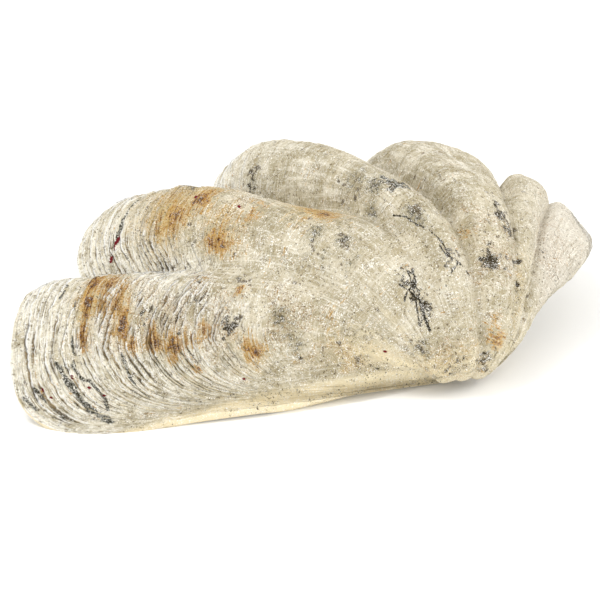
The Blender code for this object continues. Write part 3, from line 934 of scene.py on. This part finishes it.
def chalk_colour(n, s):
    """Soft patches of ivory, beige and brown, with finer lines and spots where it is rugged."""
    colour = n.mix(n.step(s.broad, 0.40, 0.60), KHAKI, SAND)
    colour = n.mix(n.step(s.patches, 0.50, 0.60, 0.0, 0.70), colour, PALE_PATCH)
    colour = n.mix(n.step(s.patches, 0.47, 0.38, 0.0, 0.55), colour, DARK_PATCH)
    colour = n.mix(n.times(n.step(s.cloud, 0.40, 0.54, 0.25, 0.85), s.rugged), colour, RUGGED_WHITE)
    colour = n.mix(n.step(s.bands, 0.50, 0.60, 0.0, 0.45), colour, BROWN_BAND)
    colour = n.mix(n.times(n.step(s.lines, 0.52, 0.58, 0.0, 0.90), s.rugged), colour, PALE_LINE)
    colour = n.mix(n.times(n.step(s.flecks, 0.54, 0.60, 0.0, 0.55), s.rugged), colour, PALE_SPOT)
    colour = n.mix(n.times(n.step(s.flecks, 0.44, 0.38, 0.0, 0.45), s.rugged), colour, DARK_SPOT)

    # The last fold is the palest
    last_fold = n.times(n.step(s.on_margin, 23.5, 28.5), n.step(s.size, 0.30, 0.50, 0.0, 0.85))
    colour = n.mix(last_fold, colour, LAST_FOLD)

    # Fine ribs towards the beak where it is worn
    colour = n.mix(n.times(n.step(s.ribs, 0.54, 0.60, 0.0, 0.5), s.worn), colour, PALE_RIB)
    return n.mix(n.times(n.step(s.ribs, 0.44, 0.38, 0.0, 0.5), s.worn), colour, DARK_RIB)


def lamella_colour(n, s, colour):
    """Thin lines between the layers, and where lamellae are left, a painted highlight on their edges
    over painted shade in the gaps beneath them.
    """
    kept = n.step(n.plus(n.spread(s.cloud, 3.0), s.layered), 0.10, 0.55, 0.0, 0.85)
    thin = n.step(n.math("ABSOLUTE", n.spread(s.strands, 1.0)), 0.015, 0.007)
    colour = n.mix(n.times(thin, kept), colour, THIN_LINE)
    pale = n.step(n.math("ABSOLUTE", n.math("SUBTRACT", s.strands, 0.535)), 0.020, 0.006)
    colour = n.mix(n.times(pale, kept), colour, WHITE_LINE)

    # Painted shade in the gaps under the lamella edges, dark or tan by patches, and a painted highlight
    # on the edges
    gap = n.plus(n.value("gap"), n.spread(s.grain, 1.0))
    edge = n.plus(n.value("edge"), n.spread(s.grain, 1.0))
    between = n.mix(n.step(s.cloud, 0.44, 0.56), GAP_SHADE_DARK, GAP_SHADE_TAN)
    colour = n.mix(n.step(gap, 0.35, 0.65, 0.0, 0.96), colour, between)
    return n.mix(n.step(edge, 0.25, 0.60, 0.0, 0.95), colour, PAINTED_EDGE_HIGHLIGHT)


def rust_colour(n, s, colour):
    """Tan and rust, broken up along the growth lines, with wriggly lines and dots round them."""
    tan = n.plus(n.value("tan"), n.times(s.breaks, 0.7))
    colour = n.mix(n.step(tan, 0.25, 0.85, 0.0, 0.72), colour, TAN)
    colour = n.mix(n.step(s.rust, 0.38, 0.60, 0.0, 0.82), colour, RUST)
    colour = n.mix(n.step(s.rust, 0.74, 0.86, 0.0, 0.90), colour, DEEP_RUST)
    colour = n.mix(n.step(s.rust, 0.92, 1.00, 0.0, 0.95), colour, BLACK_RUST)

    dotted = n.math("MAXIMUM", s.ridge, n.step(s.grain, 0.42, 0.39))
    net = n.plus(n.value("net"), n.spread(s.cloud, 2.6))
    rusty = n.mix(n.step(s.fine, 0.44, 0.56), DARK_NET, LIGHT_NET)
    colour = n.mix(n.times(dotted, n.step(net, 0.35, 0.70, 0.0, 0.90)), colour, rusty)
    return n.mix(n.times(s.ridge, n.step(s.cloud, 0.555, 0.60, 0.0, 0.85)), colour, WRIGGLE)


def crust_colour(n, s, colour):
    """Grey-olive crust, dark pits, filled grooves, cracks and the brown lip."""
    pitted = n.plus(n.spread(s.grain, 2.2), n.plus(n.spread(s.flecks, 2.6), n.spread(s.cloud, 1.2)))
    grey = n.plus(n.value("grey"), pitted)
    colour = n.mix(n.step(grey, 0.40, 0.85, 0.0, 0.75), colour, OLIVE_CRUST)
    colour = n.mix(n.step(grey, 0.90, 1.02, 0.0, 0.94), colour, BLACK_CRUST)
    sunk = n.plus(s.low, n.spread(s.flecks, 2.4))
    colour = n.mix(n.step(sunk, 0.70, 1.15, 0.0, 0.85), colour, PIT)
    dark = n.plus(n.value("dark"), n.plus(pitted, n.times(s.low, 0.35)))
    colour = n.mix(n.step(dark, 0.66, 0.86, 0.0, 0.97), colour, DARK_STAIN)
    filling = n.mix(n.step(s.grain, 0.52, 0.56), BLACK_FILLING, GRIT)
    groove = n.plus(n.value("groove"), n.times(pitted, 0.35))
    colour = n.mix(n.step(groove, 0.30, 0.48, 0.0, 0.97), colour, filling)
    crack = n.plus(n.value("crack"), n.times(pitted, 0.4))
    colour = n.mix(n.step(crack, 0.32, 0.46, 0.0, 0.98), colour, CRACK)
    colour = n.mix(n.step(n.value("seam"), 0.3, 0.9, 0.0, 0.6), colour, SEAM)
    return n.mix(n.step(n.value("lip"), 0.2, 0.9, 0.0, 0.8), colour, BROWN_LIP)


def painted_underside_light(n, s, colour):
    """Painted light: a pale tint, laid over the stains too, where it faces the floor and along the low
    strip of the hinge side, which stand in shade.
    """
    facing = n.add("SeparateXYZ", {"Vector": n.add("NewGeometry").outputs["Normal"]}).outputs["Z"]
    # Painted light: paler where the surface faces down, and on the low strip of the hinge side whichever
    # way it faces
    painted_light = n.times(n.step(facing, 0.25, -0.35), n.step(s.on_margin, 6.5, 4.5, 0.45, 0.86))
    painted_light = n.math("MAXIMUM", painted_light, n.step(s.on_margin, 3.9, 2.9, 0.0, 0.80))
    return n.mix(painted_light, colour, PAINTED_UNDERSIDE_LIGHT)


def speck_colour(n, s, colour):
    """Painted highlights as pale glints and sparkles in clusters, dark specks in clusters, and a few
    dark red dots.
    """
    # Painted highlights: pale glints and sparkles in clusters, fewer on rust
    unrusted = n.step(s.rust, 0.60, 0.25, 0.40, 1.0)
    crowded = n.times(n.step(s.flecks, 0.44, 0.56, 0.15, 1.0), unrusted)
    colour = n.mix(n.times(n.step(s.fine, 0.57, 0.60), crowded), colour, GLINT)
    sparkle_highlights = n.times(n.step(s.grain, 0.585, 0.605), n.step(s.cloud, 0.50, 0.56))
    colour = n.mix(n.times(sparkle_highlights, unrusted), colour, SPARKLE_HIGHLIGHT)
    specks = n.times(n.step(s.grain, 0.425, 0.400, 0.0, 0.80), n.step(s.cloud, 0.50, 0.44))
    colour = n.mix(specks, colour, SPECK)
    specks = n.times(n.step(s.grain, 0.400, 0.385), n.step(s.cloud, 0.54, 0.46))
    colour = n.mix(specks, colour, DARK_SPECK)

    dots = n.add("TexVoronoi", {"Vector": s.place, "Scale": 34.0, "Randomness": 1.0})
    near = n.step(dots.outputs["Distance"], 0.060, 0.040)
    chance = n.add("SeparateColor", {"Color": dots.outputs["Color"]}).outputs[0]
    scattered = n.times(near, n.step(chance, 0.86, 0.88))
    red = n.math("MAXIMUM", scattered, n.step(n.value("red"), 0.3, 0.6))
    return n.mix(red, colour, RED_DOT)


def outside_bumps(n, s):
    """Relief too fine for the mesh: growth lines, ribs and grain."""
    normal = n.bump(n.times(s.strands, s.rugged), 0.0020, 0.8)
    normal = n.bump(n.times(s.lines, s.rugged), 0.0010, 0.8, normal)
    normal = n.bump(n.times(s.ribs, s.worn), 0.0012, 0.7, normal)
    normal = n.bump(s.cloud, 0.0026, 0.5, normal)
    normal = n.bump(n.times(s.flecks, s.rugged), 0.0022, 0.9, normal)
    return n.bump(n.times(s.grain, n.step(s.layered, 0.10, 0.60, 0.80, 1.0)), 0.0012, 0.9, normal)


def outside_material():
    """Weathered chalky shell: ivory and beige, with growth lines, rust, grey crust and specks."""
    n = Nodes("weathered_shell")
    s = outside_signals(n)
    colour = lamella_colour(n, s, chalk_colour(n, s))
    colour = crust_colour(n, s, rust_colour(n, s, colour))
    colour = speck_colour(n, s, painted_underside_light(n, s, colour))
    n.set(n.shader.inputs["Base Color"], colour)
    n.shader.inputs["Specular IOR Level"].default_value = 0.12
    n.set(n.shader.inputs["Roughness"], n.step(s.fine, 0.45, 0.70, 0.66, 0.40))
    n.set(n.shader.inputs["Normal"], outside_bumps(n, s))
    return n.material


def inside_material():
    """Smooth porcelain, cream by the margin and whiter within."""
    n = Nodes("porcelain")
    place = n.add("TexCoord").outputs["Object"]
    grown = n.add("Attribute", attribute_name="grown").outputs["Vector"]
    size = n.add("SeparateXYZ", {"Vector": grown}).outputs["Y"]
    broad = n.noise(place, 14.0, 3.0)
    lines = n.noise(n.scaled(grown, (0.8, 90.0, 1.0)), 1.0, 2.0)
    colour = n.mix(n.step(size, 0.80, 0.97), PORCELAIN, CREAM)
    colour = n.mix(n.step(broad, 0.45, 0.62, 0.0, 0.5), colour, WHITE_PATCH)
    colour = n.mix(n.step(lines, 0.55, 0.68, 0.0, 0.3), colour, FAINT_LINE)
    n.set(n.shader.inputs["Base Color"], colour)
    n.set(n.shader.inputs["Roughness"], n.step(broad, 0.4, 0.65, 0.38, 0.24))
    n.set(n.shader.inputs["Normal"], n.bump(lines, 0.0006, 0.5))
    return n.material


def floor_material():
    """Plain matt white."""
    n = Nodes("floor_white")
    n.shader.inputs["Base Color"].default_value = FLOOR_WHITE
    n.shader.inputs["Roughness"].default_value = FLOOR_ROUGHNESS
    return n.material


# Stage
def add_lamp(name, at, aim, size, power):
    """A round soft light turned to a point."""
    data = bpy.data.lights.new(name, "AREA")
    data.shape = "DISK"
    data.size = size
    data.energy = power
    item = bpy.data.objects.new(name, data)
    item.location = at
    item.rotation_euler = (Vector(aim) - Vector(at)).to_track_quat("-Z", "Y").to_euler()
    bpy.context.scene.collection.objects.link(item)


def add_camera():
    """The camera, placed as the photo's was."""
    data = bpy.data.cameras.new("camera")
    data.lens = CAMERA_LENS
    data.sensor_width = SENSOR_WIDTH
    data.clip_start = 0.05
    camera = bpy.data.objects.new("camera", data)
    forward = Vector(CAMERA_FORWARD).normalized()
    right = Vector(CAMERA_RIGHT)
    right = (right - forward * right.dot(forward)).normalized()
    up = right.cross(forward)
    turn = Matrix((right, up, -forward)).transposed()
    camera.matrix_world = Matrix.Translation(CAMERA_AT) @ turn.to_4x4()
    bpy.context.scene.collection.objects.link(camera)
    bpy.context.scene.camera = camera


def build_stage():
    """A white floor, an even sky, soft lights and the camera."""
    mesh = bpy.data.meshes.new("floor")
    half = FLOOR_HALF
    corners = [(-half, -half, 0), (half, -half, 0), (half, half, 0), (-half, half, 0)]
    mesh.from_pydata(corners, [], [(0, 1, 2, 3)])
    mesh.materials.append(floor_material())
    floor = bpy.data.objects.new("floor", mesh)
    bpy.context.scene.collection.objects.link(floor)

    world = bpy.data.worlds.new("studio")
    world.use_nodes = True
    sky = world.node_tree.nodes["Background"].inputs
    sky["Color"].default_value = SKY_COLOUR
    sky["Strength"].default_value = SKY_STRENGTH
    bpy.context.scene.world = world
    for lamp in LAMPS:
        add_lamp(*lamp)
    add_camera()
    bpy.context.scene.view_settings.view_transform = "Standard"


build_stage()
outer_pieces, inner_piece = build_valve()
weathered = outside_material()
for piece in outer_pieces:
    piece.data.materials.append(weathered)
inner_piece.data.materials.append(inside_material())
for piece in outer_pieces + [inner_piece]:
    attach(piece, "root")
    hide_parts("valve")
